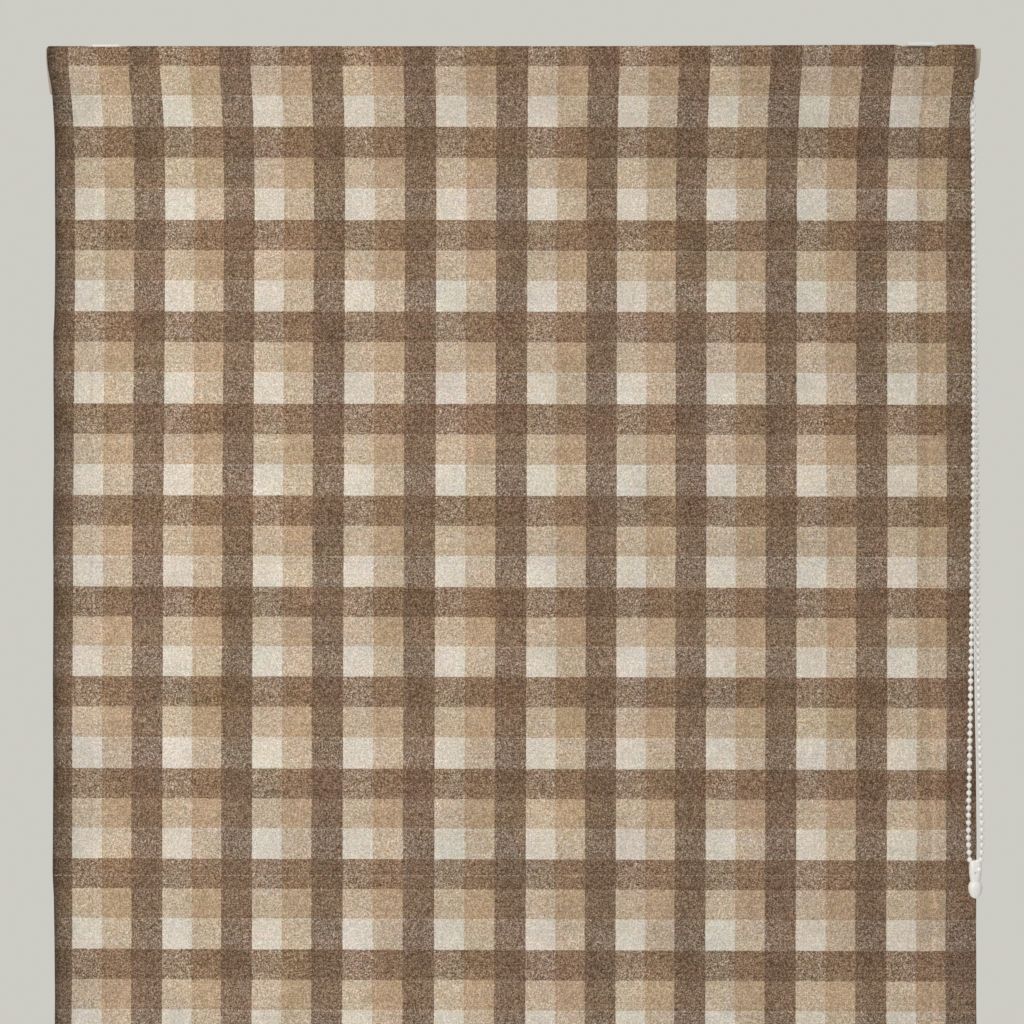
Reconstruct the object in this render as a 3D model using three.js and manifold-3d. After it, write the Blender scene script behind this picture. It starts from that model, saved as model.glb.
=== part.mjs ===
// A flat, lowered roman shade with its headrail, brackets and ball chain.
// Millimetres, +Z up. The front of the shade faces -Y, and +X is to its right as seen from the front.
// The origin lies on the headrail's flat top, midway between the two brackets.
// "forward" is a distance in front of the plane in which the lower cloth hangs.

import * as THREE from "three";
import { mergeVertices } from "three/addons/utils/BufferGeometryUtils.js";
import Module from "manifold-3d";

const wasm = await Module();
wasm.setup();

// Driving dimensions

const HANGING_PLANE_Y = 9;
const PIECE_GAP = 0.3;
const ARC_SEGMENTS = 6;

// The cloth and its hems
const CLOTH_TOP = -0.3;
const DROP = 1056;
const CLOTH_THICKNESS = 1.6;
const SIDE_HEM_THICKNESS = 2.8;
const TOP_TURN_THICKNESS = 3.2;
const BOTTOM_HEM_THICKNESS = 3.4;
const TOP_TURN_HEIGHT = 17;
const BOTTOM_HEM_HEIGHT = 42;
const LEFT_HEM_WIDTH = 32;
const RIGHT_HEM_WIDTH = 36;
const HEM_STEP = 1.2;
const EDGE_RADIUS = 1.5;
const EDGE_ROUNDING = 0.7;
const FIELD_PANELS = 10;

// The rod pockets on the back
const FIRST_ROD = 159.6;
const ROD_SPACING = 252.1;
const ROD_COUNT = 4;
const POCKET_END_INSET = 6;
const POCKET_GAP = 0.4;

// The headrail's channel section
const RAIL_LEFT = -368;
const RAIL_RIGHT = 358;
const RAIL_HEIGHT = 25;
const RAIL_FRONT = 30.9;
const RAIL_BACK = -9.5;
const RAIL_WALL = 1.4;
const RAIL_CORNER = 1.2;
const GROOVE_DEPTH = 2;
const GROOVE_HEIGHT = 4.2;
const SLOPE_TOP = 8;
const SLOPE_FOOT = 21.8;
const LIP_WIDTH = 7;

// The left end cap and the chain drive
const CAP_THICKNESS = 3.1;
const CAP_HEIGHT = 34;
const CAP_FOOT = 15.4;
const CAP_CORNER = 3;
const SPIGOT_LENGTH = 9;
const SPIGOT_HEIGHT = 9;
const SPIGOT_FRONT = 26;
const DRIVE_RIGHT = 373.5;
const DRIVE_FOOT_RADIUS = 4.5;
const DRIVE_TOP_RADIUS = 1.2;

// The brackets
const BRACKET_CENTRE = 323.7;
const BRACKET_WIDTH = 21;
const BRACKET_TOP = 2;
const BRACKET_METAL = 1.7;
const HEEL_HEIGHT = 8;
const TAB_REACH = 41;
const TAB_STEP = 36;
const TAB_FOOT = -0.4;
const TAB_CHAMFER = 0.8;
const SLOT_LENGTH = 9;
const SLOT_WIDTH = 4;
const SLOT_FORWARD = 8;

// The ball chain and its connector
const CHAIN_DIAMETER = 4.3;
const CHAIN_SIDES = 8;
const CHAIN_STEPS = 64;
const CHAIN_TOP = -RAIL_HEIGHT - PIECE_GAP;
const CONNECTOR_X = 372.8;
const CONNECTOR_FORWARD = 12;
const CONNECTOR_TOP = -650.6;
const CONNECTOR_SIDES = 16;
const CHAIN_FOOT = CONNECTOR_TOP + PIECE_GAP;

// The height of a line of stitching that holds a rod pocket, the first with index 0
function stitchHeight(index) {
  return -FIRST_ROD - index * ROD_SPACING;
}

// The cloth's face, one row for each height at which its section or its side edges turn
const CLOTH_SECTIONS = [
  { z: -0.3, forward: 34.4, left: -367.6, right: 366.4 },
  { z: -1.2, forward: 34.4, left: -369.2, right: 367.8 },
  { z: -3, forward: 34.4, left: -370.1, right: 368.6 },
  { z: -9, forward: 34.4, left: -370.1, right: 368.7 },
  { z: -17, forward: 31.2, left: -369.9, right: 368.9 },
  { z: -23, forward: 27.7, left: -369.3, right: 369.4 },
  { z: -30, forward: 23.2, left: -368.6, right: 370.0 },
  { z: -36, forward: 19.5, left: -368.7, right: 369.6 },
  { z: -41, forward: 16.8, left: -368.9, right: 368.3 },
  { z: -50, forward: 12.4, left: -369.2, right: 368.2 },
  { z: -58, forward: 9.6, left: -369.4, right: 369.2 },
  { z: -71, forward: 6.2, left: -369.8, right: 371.0 },
  { z: -84, forward: 4.0, left: -370.2, right: 372.0 },
  { z: -100, forward: 2.0, left: -370.6, right: 372.4 },
  { z: -122, forward: 0.3, left: -370.8, right: 372.8 },
  { z: -156, forward: 0.0, left: -370.7, right: 372.8 },
  { z: -190, forward: 0.6, left: -370.8, right: 372.8 },
  { z: -214, forward: 1.0, left: -371.2, right: 372.8 },
  { z: -226, forward: 1.1, left: -372.0, right: 372.8 },
  { z: -270, forward: 2.2, left: -371.6, right: 372.8 },
  { z: -322, forward: 3.0, left: -371.0, right: 372.8 },
  { z: -360, forward: 4.6, left: -371.4, right: 372.8 },
  { z: -394, forward: 5.4, left: -371.5, right: 372.8 },
  { z: stitchHeight(1), forward: 4.0, left: -371.4, right: 372.8 },
  { z: -450, forward: 4.6, left: -371.4, right: 373.0 },
  { z: -510, forward: 5.2, left: -371.5, right: 374.0 },
  { z: -580, forward: 5.2, left: -371.2, right: 375.2 },
  { z: -640, forward: 4.9, left: -371.8, right: 375.8 },
  { z: stitchHeight(2), forward: 4.0, left: -372.2, right: 375.8 },
  { z: -680, forward: 3.6, left: -371.3, right: 375.9 },
  { z: -712, forward: 2.8, left: -370.9, right: 376.0 },
  { z: -765, forward: 3.8, left: -370.2, right: 376.0 },
  { z: -830, forward: 4.6, left: -370.3, right: 375.8 },
  { z: -890, forward: 4.4, left: -370.8, right: 375.9 },
  { z: stitchHeight(3), forward: 3.4, left: -371.0, right: 375.8 },
  { z: -960, forward: 3.6, left: -370.9, right: 375.6 },
  { z: -1053, forward: 3.8, left: -371.2, right: 375.5 },
  { z: -1056, forward: 3.8, left: -370.2, right: 374.5 },
];

// A rod pocket's section: how far below its stitch line, and how deep behind the cloth
const POCKET_SECTION = [
  { below: -2, depth: 1.0 },
  { below: 0, depth: 0.9 },
  { below: 5, depth: 1.1 },
  { below: 8, depth: 3.2 },
  { below: 10, depth: 4.9 },
  { below: 12.5, depth: 5.4 },
  { below: 15, depth: 4.6 },
  { below: 16.8, depth: 2.6 },
  { below: 17.4, depth: 1.3 },
];

// The strands' routes, chosen by hand: the back strand comes round the cloth's right edge
const FRONT_STRAND = [
  { x: 370.8, forward: 13, z: CHAIN_TOP },
  { x: 370.8, forward: 13, z: -34 },
  { x: 370.9, forward: 13, z: -60 },
  { x: 371.1, forward: 13, z: -100 },
  { x: 371.4, forward: 13, z: -150 },
  { x: 371.6, forward: 13, z: -210 },
  { x: 371.5, forward: 13, z: -270 },
  { x: 371.2, forward: 13, z: -334 },
  { x: 370.4, forward: 13, z: -392 },
  { x: 369.8, forward: 13, z: -450 },
  { x: 368.9, forward: 13, z: -508 },
  { x: 368.1, forward: 13, z: -566 },
  { x: 367.3, forward: 12.6, z: -615 },
  { x: 367.4, forward: 12.2, z: -638 },
  { x: 368.0, forward: 12, z: -646 },
  { x: 368.4, forward: 12, z: CHAIN_FOOT },
];
const BACK_STRAND = [
  { x: 370.8, forward: -6, z: CHAIN_TOP },
  { x: 371.0, forward: -6.2, z: -34 },
  { x: 371.8, forward: -6.6, z: -60 },
  { x: 373.4, forward: -6.6, z: -100 },
  { x: 375.2, forward: -5.4, z: -150 },
  { x: 375.9, forward: -3, z: -205 },
  { x: 375.8, forward: -0.6, z: -270 },
  { x: 376.0, forward: 2.5, z: -334 },
  { x: 376.0, forward: 5.2, z: -392 },
  { x: 375.6, forward: 7.6, z: -450 },
  { x: 375.8, forward: 9.6, z: -508 },
  { x: 376.8, forward: 11, z: -566 },
  { x: 377.8, forward: 12, z: -615 },
  { x: 378.0, forward: 12, z: -638 },
  { x: 377.6, forward: 12, z: -646 },
  { x: 377.2, forward: 12, z: CHAIN_FOOT },
];

// The connector's outline, from its top to its round foot
const CONNECTOR_SECTIONS = [
  { below: 0, halfWidth: 4.9, halfDepth: 3.4 },
  { below: 2.2, halfWidth: 5.6, halfDepth: 4.0 },
  { below: 8, halfWidth: 5.7, halfDepth: 4.2 },
  { below: 12.5, halfWidth: 4.9, halfDepth: 3.9 },
  { below: 15, halfWidth: 4.3, halfDepth: 3.6 },
  { below: 17, halfWidth: 5.1, halfDepth: 4.2 },
  { below: 20.5, halfWidth: 5.8, halfDepth: 4.6 },
  { below: 24, halfWidth: 5.6, halfDepth: 4.4 },
  { below: 27.5, halfWidth: 4.6, halfDepth: 3.6 },
  { below: 29.6, halfWidth: 3.1, halfDepth: 2.4 },
  { below: 30.6, halfWidth: 1.2, halfDepth: 1.0 },
];

const FABRIC = { color: 0x8b7560, roughness: 0.95, metalness: 0 };
const POCKET_TAPE = { color: 0xcfc3ae, roughness: 0.95, metalness: 0 };
const ALUMINIUM = { color: 0xd8d8d4, roughness: 0.45, metalness: 0.8 };
const BEIGE_PLASTIC = { color: 0xa89a88, roughness: 0.5, metalness: 0 };
const WHITE_PLASTIC = { color: 0xe8e4da, roughness: 0.4, metalness: 0 };

// Shared helpers

function sub(name, geometry, finish) {
  const mesh = new THREE.Mesh(geometry, new THREE.MeshStandardMaterial(finish));
  mesh.name = name;
  return mesh;
}

function depthToY(forward) {
  return HANGING_PLANE_Y - forward;
}

function geometryFrom(points, triangles) {
  const geometry = new THREE.BufferGeometry();
  const positions = points.flatMap((point) => [point.x, point.y, point.z]);
  geometry.setAttribute("position", new THREE.Float32BufferAttribute(positions, 3));
  geometry.setIndex(triangles.flat());
  geometry.computeVertexNormals();
  return geometry;
}

function toSolid(geometry) {
  const bare = geometry.clone();
  bare.deleteAttribute("normal");
  bare.deleteAttribute("uv");
  const merged = mergeVertices(bare, 1e-4);
  const vertProperties = new Float32Array(merged.attributes.position.array);
  const triVerts = new Uint32Array(merged.index.array);
  return new wasm.Manifold(new wasm.Mesh({ numProp: 3, vertProperties, triVerts }));
}

function toGeometry(solid) {
  const mesh = solid.getMesh();
  const geometry = new THREE.BufferGeometry();
  geometry.setAttribute("position", new THREE.BufferAttribute(new Float32Array(mesh.vertProperties), 3));
  geometry.setIndex(new THREE.BufferAttribute(new Uint32Array(mesh.triVerts), 1));
  geometry.computeVertexNormals();
  return geometry;
}

// Extrudes an outline given as [forward, z] pairs along X
function alongX(outline, left, right) {
  const shape = new THREE.Shape(outline.map(([forward, z]) => new THREE.Vector2(depthToY(forward), z)));
  const geometry = new THREE.ExtrudeGeometry(shape, { depth: right - left, bevelEnabled: false });
  const toWorld = new THREE.Matrix4().makeBasis(
    new THREE.Vector3(0, 1, 0),
    new THREE.Vector3(0, 0, 1),
    new THREE.Vector3(1, 0, 0),
  );
  geometry.applyMatrix4(toWorld);
  geometry.translate(left, 0, 0);
  return geometry;
}

// A closed sheet between two grids of points, both given row by row from the top, left to right
function sheetBetween(front, back) {
  const rows = front.length;
  const columns = front[0].length;
  const frontIndex = (row, column) => row * columns + column;
  const backIndex = (row, column) => rows * columns + row * columns + column;
  const triangles = [];
  const quad = (a, b, c, d) => triangles.push([a, b, c], [a, c, d]);
  for (let row = 0; row < rows - 1; row += 1) {
    for (let column = 0; column < columns - 1; column += 1) {
      quad(
        frontIndex(row, column),
        frontIndex(row + 1, column),
        frontIndex(row + 1, column + 1),
        frontIndex(row, column + 1),
      );
      quad(
        backIndex(row, column),
        backIndex(row, column + 1),
        backIndex(row + 1, column + 1),
        backIndex(row + 1, column),
      );
    }
  }
  for (let column = 0; column < columns - 1; column += 1) {
    const last = rows - 1;
    quad(
      frontIndex(0, column),
      frontIndex(0, column + 1),
      backIndex(0, column + 1),
      backIndex(0, column),
    );
    quad(
      frontIndex(last, column),
      backIndex(last, column),
      backIndex(last, column + 1),
      frontIndex(last, column + 1),
    );
  }
  for (let row = 0; row < rows - 1; row += 1) {
    const last = columns - 1;
    quad(
      frontIndex(row, 0),
      backIndex(row, 0),
      backIndex(row + 1, 0),
      frontIndex(row + 1, 0),
    );
    quad(
      frontIndex(row, last),
      frontIndex(row + 1, last),
      backIndex(row + 1, last),
      backIndex(row, last),
    );
  }
  return geometryFrom([...front.flat(), ...back.flat()], triangles);
}

// The cloth

function clothAt(z) {
  const below = CLOTH_SECTIONS.findIndex((section) => section.z <= z);
  if (below <= 0) {
    return CLOTH_SECTIONS[0];
  }
  const upper = CLOTH_SECTIONS[below - 1];
  const lower = CLOTH_SECTIONS[below];
  const share = (upper.z - z) / (upper.z - lower.z);
  const mix = (key) => upper[key] + share * (lower[key] - upper[key]);
  return { forward: mix("forward"), left: mix("left"), right: mix("right") };
}

function layersAt(z) {
  if (z >= -TOP_TURN_HEIGHT) {
    return TOP_TURN_THICKNESS;
  }
  if (z <= -DROP + BOTTOM_HEM_HEIGHT) {
    return BOTTOM_HEM_THICKNESS;
  }
  return CLOTH_THICKNESS;
}

// Insets from the edges, and whether the point lies on a side hem
function clothColumns(z, inset) {
  const { left, right } = clothAt(z);
  const fieldLeft = left + LEFT_HEM_WIDTH;
  const fieldRight = right - RIGHT_HEM_WIDTH;
  const panel = (fieldRight - fieldLeft) / FIELD_PANELS;
  const leftInsets = inset > 0 ? [inset] : [0, EDGE_RADIUS / 3, EDGE_RADIUS];
  const columns = leftInsets.map((edge) => ({ x: left + edge, edge, hem: true }));
  columns.push({ x: fieldLeft - HEM_STEP, edge: LEFT_HEM_WIDTH, hem: true });
  for (let index = 0; index <= FIELD_PANELS; index += 1) {
    columns.push({ x: fieldLeft + index * panel, edge: LEFT_HEM_WIDTH, hem: false });
  }
  columns.push({ x: fieldRight + HEM_STEP, edge: RIGHT_HEM_WIDTH, hem: true });
  const rightInsets = [...leftInsets].reverse();
  rightInsets.forEach((edge) => columns.push({ x: right - edge, edge, hem: true }));
  return columns;
}

function roundingAt(edge) {
  if (edge >= EDGE_RADIUS) {
    return 0;
  }
  const rest = EDGE_RADIUS - edge;
  return EDGE_ROUNDING * (EDGE_RADIUS - Math.sqrt(EDGE_RADIUS ** 2 - rest ** 2));
}

function thicknessAt(z, column) {
  return Math.max(layersAt(z), column.hem ? SIDE_HEM_THICKNESS : 0);
}

function clothRows() {
  const steps = [
    CLOTH_TOP - EDGE_RADIUS / 3,
    CLOTH_TOP - EDGE_RADIUS,
    -TOP_TURN_HEIGHT - HEM_STEP,
    -DROP + BOTTOM_HEM_HEIGHT + HEM_STEP,
    -DROP + BOTTOM_HEM_HEIGHT,
    -DROP + EDGE_RADIUS,
    -DROP + EDGE_RADIUS / 3,
  ];
  return [...CLOTH_SECTIONS.map((section) => section.z), ...steps].sort((a, b) => b - a);
}

function makeCloth() {
  const front = [];
  const back = [];
  clothRows().forEach((z) => {
    const { forward } = clothAt(z);
    const columns = clothColumns(z, 0);
    const rowEdge = Math.min(CLOTH_TOP - z, z + DROP);
    const rounding = (column) => Math.max(roundingAt(column.edge), roundingAt(rowEdge));
    front.push(columns.map((column) => (
      new THREE.Vector3(column.x, depthToY(forward - rounding(column)), z))));
    back.push(columns.map((column) => (
      new THREE.Vector3(column.x, depthToY(forward - thicknessAt(z, column) + rounding(column)), z))));
  });
  return sheetBetween(front, back);
}

// A rod pocket is a tape that is sewn on along its top and bulges below round its rod
function makePocket(stitchZ) {
  const front = [];
  const back = [];
  POCKET_SECTION.forEach(({ below, depth }) => {
    const z = stitchZ - below;
    const { forward } = clothAt(z);
    const columns = clothColumns(z, POCKET_END_INSET);
    const seat = (column) => forward - thicknessAt(z, column) - POCKET_GAP;
    front.push(columns.map((column) => new THREE.Vector3(column.x, depthToY(seat(column)), z)));
    back.push(columns.map((column) => new THREE.Vector3(column.x, depthToY(seat(column) - depth), z)));
  });
  return sheetBetween(front, back);
}

// The headrail and what closes its ends

function railOutline() {
  const grooveBack = RAIL_FRONT - GROOVE_DEPTH;
  const slope = (RAIL_FRONT - SLOPE_FOOT) / (RAIL_HEIGHT - SLOPE_TOP);
  const slopeWall = RAIL_WALL * Math.hypot(1, slope);
  return [
    [SLOPE_FOOT - LIP_WIDTH, -RAIL_HEIGHT],
    [SLOPE_FOOT, -RAIL_HEIGHT],
    [RAIL_FRONT, -SLOPE_TOP],
    [RAIL_FRONT, -GROOVE_HEIGHT],
    [grooveBack, -GROOVE_HEIGHT],
    [grooveBack, 0],
    [RAIL_BACK + RAIL_CORNER, 0],
    [RAIL_BACK, -RAIL_CORNER],
    [RAIL_BACK, -RAIL_HEIGHT],
    [RAIL_BACK + LIP_WIDTH, -RAIL_HEIGHT],
    [RAIL_BACK + LIP_WIDTH, -RAIL_HEIGHT + RAIL_WALL],
    [RAIL_BACK + RAIL_WALL, -RAIL_HEIGHT + RAIL_WALL],
    [RAIL_BACK + RAIL_WALL, -RAIL_WALL],
    [grooveBack - RAIL_WALL, -RAIL_WALL],
    [grooveBack - RAIL_WALL, -GROOVE_HEIGHT - RAIL_WALL],
    [RAIL_FRONT - RAIL_WALL, -GROOVE_HEIGHT - RAIL_WALL],
    [RAIL_FRONT - RAIL_WALL, -SLOPE_TOP + (slopeWall - RAIL_WALL) / slope],
    [SLOPE_FOOT + RAIL_WALL * slope - slopeWall, -RAIL_HEIGHT + RAIL_WALL],
    [SLOPE_FOOT - LIP_WIDTH, -RAIL_HEIGHT + RAIL_WALL],
  ];
}

function makeSpigot(left, right) {
  const top = -RAIL_WALL - PIECE_GAP;
  const back = RAIL_BACK + RAIL_WALL + PIECE_GAP;
  const outline = [
    [SPIGOT_FRONT, top],
    [back, top],
    [back, top - SPIGOT_HEIGHT],
    [SPIGOT_FRONT, top - SPIGOT_HEIGHT],
  ];
  return toSolid(alongX(outline, left, right));
}

function endOutline(height, foot) {
  return [
    [RAIL_FRONT - RAIL_CORNER, 0],
    [RAIL_BACK + RAIL_CORNER, 0],
    [RAIL_BACK, -RAIL_CORNER],
    [RAIL_BACK, -height + CAP_CORNER],
    [RAIL_BACK + CAP_CORNER, -height],
    [foot, -height],
    [SLOPE_FOOT, -RAIL_HEIGHT + PIECE_GAP],
    [RAIL_FRONT, -SLOPE_TOP],
    [RAIL_FRONT, -RAIL_CORNER],
  ];
}

function makeEndCap() {
  const right = RAIL_LEFT - PIECE_GAP;
  const plate = toSolid(alongX(endOutline(CAP_HEIGHT, CAP_FOOT), right - CAP_THICKNESS, right));
  const spigot = makeSpigot(right - CAP_THICKNESS / 2, RAIL_LEFT + SPIGOT_LENGTH);
  return toGeometry(plate.add(spigot));
}

// The drive's outer end has a rounded foot, seen from the front
function makeDrive() {
  const left = RAIL_RIGHT + PIECE_GAP;
  const outline = endOutline(RAIL_HEIGHT, SLOPE_FOOT - PIECE_GAP);
  const body = toSolid(alongX(outline, left, DRIVE_RIGHT));
  const wellPast = 2 * RAIL_HEIGHT;
  const face = new THREE.Shape();
  face.moveTo(left - wellPast, -RAIL_HEIGHT);
  face.lineTo(DRIVE_RIGHT - DRIVE_FOOT_RADIUS, -RAIL_HEIGHT);
  face.absarc(
    DRIVE_RIGHT - DRIVE_FOOT_RADIUS,
    -RAIL_HEIGHT + DRIVE_FOOT_RADIUS,
    DRIVE_FOOT_RADIUS,
    -Math.PI / 2,
    0,
  );
  face.absarc(DRIVE_RIGHT - DRIVE_TOP_RADIUS, -DRIVE_TOP_RADIUS, DRIVE_TOP_RADIUS, 0, Math.PI / 2);
  face.lineTo(left - wellPast, 0);
  const facing = new THREE.ExtrudeGeometry(face, {
    depth: 2 * wellPast,
    bevelEnabled: false,
    curveSegments: ARC_SEGMENTS,
  });
  facing.rotateX(Math.PI / 2);
  facing.translate(0, wellPast, 0);
  const spigot = makeSpigot(RAIL_RIGHT - SPIGOT_LENGTH, left + SPIGOT_LENGTH / 2);
  return toGeometry(body.intersect(toSolid(facing)).add(spigot));
}

// The brackets grip the rail by its front groove and its back edge

function bracketOutline(hasTab) {
  const underside = BRACKET_TOP - BRACKET_METAL;
  const heelInside = RAIL_BACK - PIECE_GAP;
  const hookInside = RAIL_FRONT - GROOVE_DEPTH + PIECE_GAP;
  const hookFoot = -GROOVE_HEIGHT + PIECE_GAP;
  const tab = [
    [RAIL_FRONT, underside],
    [TAB_STEP, underside],
    [TAB_STEP + TAB_CHAMFER, TAB_FOOT],
    [TAB_REACH - TAB_CHAMFER, TAB_FOOT],
    [TAB_REACH, TAB_FOOT + TAB_CHAMFER],
    [TAB_REACH, BRACKET_TOP],
  ];
  return [
    [heelInside - BRACKET_METAL, BRACKET_TOP],
    [heelInside - BRACKET_METAL, -HEEL_HEIGHT],
    [heelInside, -HEEL_HEIGHT],
    [heelInside, underside],
    [hookInside, underside],
    [hookInside, hookFoot],
    [RAIL_FRONT, hookFoot],
    ...(hasTab ? tab : [[RAIL_FRONT, BRACKET_TOP]]),
  ];
}

function makeBracket(centre, hasTab) {
  const half = BRACKET_WIDTH / 2;
  const body = toSolid(alongX(bracketOutline(hasTab), centre - half, centre + half));
  const slot = new THREE.Shape();
  const radius = SLOT_WIDTH / 2;
  const reach = SLOT_LENGTH / 2 - radius;
  slot.absarc(reach, 0, radius, -Math.PI / 2, Math.PI / 2);
  slot.absarc(-reach, 0, radius, Math.PI / 2, 1.5 * Math.PI);
  const cutter = new THREE.ExtrudeGeometry(slot, {
    depth: 2 * BRACKET_TOP,
    bevelEnabled: false,
    curveSegments: ARC_SEGMENTS,
  });
  cutter.translate(centre, depthToY(SLOT_FORWARD), -BRACKET_TOP / 2);
  return toGeometry(body.subtract(toSolid(cutter)));
}

// The chain and its connector

function makeStrand(route) {
  const points = route.map(({ x, forward, z }) => new THREE.Vector3(x, depthToY(forward), z));
  const section = new THREE.Shape();
  for (let side = 0; side < CHAIN_SIDES; side += 1) {
    const angle = (2 * Math.PI * side) / CHAIN_SIDES;
    const x = (CHAIN_DIAMETER / 2) * Math.cos(angle);
    const y = (CHAIN_DIAMETER / 2) * Math.sin(angle);
    if (side === 0) {
      section.moveTo(x, y);
    } else {
      section.lineTo(x, y);
    }
  }
  section.closePath();
  return new THREE.ExtrudeGeometry(section, {
    steps: CHAIN_STEPS,
    extrudePath: new THREE.CatmullRomCurve3(points, false, "centripetal"),
    bevelEnabled: false,
  });
}

function makeConnector() {
  const centreY = depthToY(CONNECTOR_FORWARD);
  const last = CONNECTOR_SECTIONS.length - 1;
  const points = CONNECTOR_SECTIONS.flatMap(({ below, halfWidth, halfDepth }) => (
    Array.from({ length: CONNECTOR_SIDES }, (_, side) => {
      const angle = (2 * Math.PI * side) / CONNECTOR_SIDES;
      return new THREE.Vector3(
        CONNECTOR_X + halfWidth * Math.cos(angle),
        centreY + halfDepth * Math.sin(angle),
        CONNECTOR_TOP - below,
      );
    })));
  const topCentre = points.length;
  points.push(new THREE.Vector3(CONNECTOR_X, centreY, CONNECTOR_TOP));
  const footCentre = points.length;
  points.push(new THREE.Vector3(CONNECTOR_X, centreY, CONNECTOR_TOP - CONNECTOR_SECTIONS[last].below));
  const triangles = [];
  for (let side = 0; side < CONNECTOR_SIDES; side += 1) {
    const next = (side + 1) % CONNECTOR_SIDES;
    triangles.push([topCentre, side, next]);
    for (let ring = 0; ring < last; ring += 1) {
      const upper = ring * CONNECTOR_SIDES;
      const lower = upper + CONNECTOR_SIDES;
      triangles.push([upper + side, lower + side, lower + next]);
      triangles.push([upper + side, lower + next, upper + next]);
    }
    triangles.push([footCentre, last * CONNECTOR_SIDES + next, last * CONNECTOR_SIDES + side]);
  }
  return geometryFrom(points, triangles);
}

const group = new THREE.Group();
group.add(sub("cloth", makeCloth(), FABRIC));
for (let index = 0; index < ROD_COUNT; index += 1) {
  group.add(sub(`rod_pocket_${index + 1}`, makePocket(stitchHeight(index)), POCKET_TAPE));
}
group.add(sub("headrail", alongX(railOutline(), RAIL_LEFT, RAIL_RIGHT), ALUMINIUM));
group.add(sub("end_cap_left", makeEndCap(), BEIGE_PLASTIC));
group.add(sub("chain_drive", makeDrive(), BEIGE_PLASTIC));
group.add(sub("bracket_left", makeBracket(-BRACKET_CENTRE, false), WHITE_PLASTIC));
group.add(sub("bracket_right", makeBracket(BRACKET_CENTRE, true), WHITE_PLASTIC));
group.add(sub("chain_front", makeStrand(FRONT_STRAND), WHITE_PLASTIC));
group.add(sub("chain_back", makeStrand(BACK_STRAND), WHITE_PLASTIC));
group.add(sub("chain_connector", makeConnector(), WHITE_PLASTIC));

export default group;
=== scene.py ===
"""Roman shade with its headrail and ball chain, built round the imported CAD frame. Lengths are millimetres
until a point is placed, and "forward" is a distance in front of the plane in which the lower cloth hangs."""

import math
from functools import reduce

import bpy
import numpy as np
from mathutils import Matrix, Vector


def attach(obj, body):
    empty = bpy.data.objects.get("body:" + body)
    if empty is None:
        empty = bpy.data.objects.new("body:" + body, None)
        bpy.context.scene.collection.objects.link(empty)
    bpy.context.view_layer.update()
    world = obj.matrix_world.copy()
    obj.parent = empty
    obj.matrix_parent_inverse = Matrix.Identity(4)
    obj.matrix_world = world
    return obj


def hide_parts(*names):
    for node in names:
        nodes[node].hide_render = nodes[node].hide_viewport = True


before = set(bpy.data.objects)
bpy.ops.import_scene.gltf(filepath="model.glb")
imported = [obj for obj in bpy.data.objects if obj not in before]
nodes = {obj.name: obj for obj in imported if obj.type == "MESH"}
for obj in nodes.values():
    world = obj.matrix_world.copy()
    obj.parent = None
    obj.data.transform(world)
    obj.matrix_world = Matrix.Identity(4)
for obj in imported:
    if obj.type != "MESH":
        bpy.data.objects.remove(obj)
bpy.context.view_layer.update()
scene = bpy.context.scene

MM = 0.001
HANG_PLANE = 9.0

# The cloth
DROP = 1056.0
CLOTH_TOP = 0.3
SINGLE_LAYER = 1.3
SIDE_HEM_LAYERS = 2.5
TOP_TURN_LAYERS = 2.9
BOTTOM_HEM_LAYERS = 3.1
TOP_TURN = 17.0
BOTTOM_HEM = 42.0
LEFT_HEM = 32.6
RIGHT_HEM = 35.0
STITCH_HEIGHTS = [-159.6 - 252.1 * index for index in range(4)]
BOTTOM_STITCHES = -1017.0
BRACKET_X = 323.7

# The check: its repeats on the flat cloth, and where one of them starts
REPEAT_ACROSS = 73.15
FIRST_CREAM_COLUMN = -354.9
REPEAT_DOWN = 73.93
FIRST_TAN_ROW = 17.5

# Where the other stripes start, as shares of a repeat. A column starts with cream, a row with tan
TAN_COLUMN_START = 0.3268
DARK_COLUMN_START = 0.6550
CREAM_ROW_START = 0.3275
DARK_ROW_START = 0.6655

# Linear yarn colours
DARK_WARP_YARN = (0.198, 0.126, 0.079)
DARK_WEFT_YARN = (0.206, 0.121, 0.068)
TAN_YARN = (0.512, 0.364, 0.233)
CREAM_YARN = (0.770, 0.692, 0.582)

# The chain. Both strands have a bead at the level height
BEAD_PITCH = 6.0
BEAD_RADIUS = 2.15
CHAIN_THREAD_RADIUS = 0.72
LEVEL_BEAD = -638.1

# The strands' routes, as (x, forward, z), the same as in the CAD
CHAIN_FRONT_ROUTE = [
    (370.8, 13, -25.3), (370.8, 13, -34), (370.9, 13, -60), (371.1, 13, -100), (371.4, 13, -150),
    (371.6, 13, -210), (371.5, 13, -270), (371.2, 13, -334), (370.4, 13, -392), (369.8, 13, -450),
    (368.9, 13, -508), (368.1, 13, -566), (367.3, 12.6, -615), (367.4, 12.2, -638), (368.0, 12, -646),
    (368.4, 12, -650.3),
]
CHAIN_BACK_ROUTE = [
    (370.8, -6, -25.3), (371.0, -6.2, -34), (371.8, -6.6, -60), (373.4, -6.6, -100), (375.2, -5.4, -150),
    (375.9, -3, -205), (375.8, -0.6, -270), (376.0, 2.5, -334), (376.0, 5.2, -392), (375.6, 7.6, -450),
    (375.8, 9.6, -508), (376.8, 11, -566), (377.8, 12, -615), (378.0, 12, -638), (377.6, 12, -646),
    (377.2, 12, -650.3),
]


def place(points):
    """Turns (x, forward, z) in millimetres into metres in the row frame."""
    points = np.asarray(points, float)
    x, forward, z = points[..., 0], points[..., 1], points[..., 2]
    return np.stack([x, HANG_PLANE - forward, z], axis=-1) * MM


def link(thing):
    scene.collection.objects.link(thing)
    return thing


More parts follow.
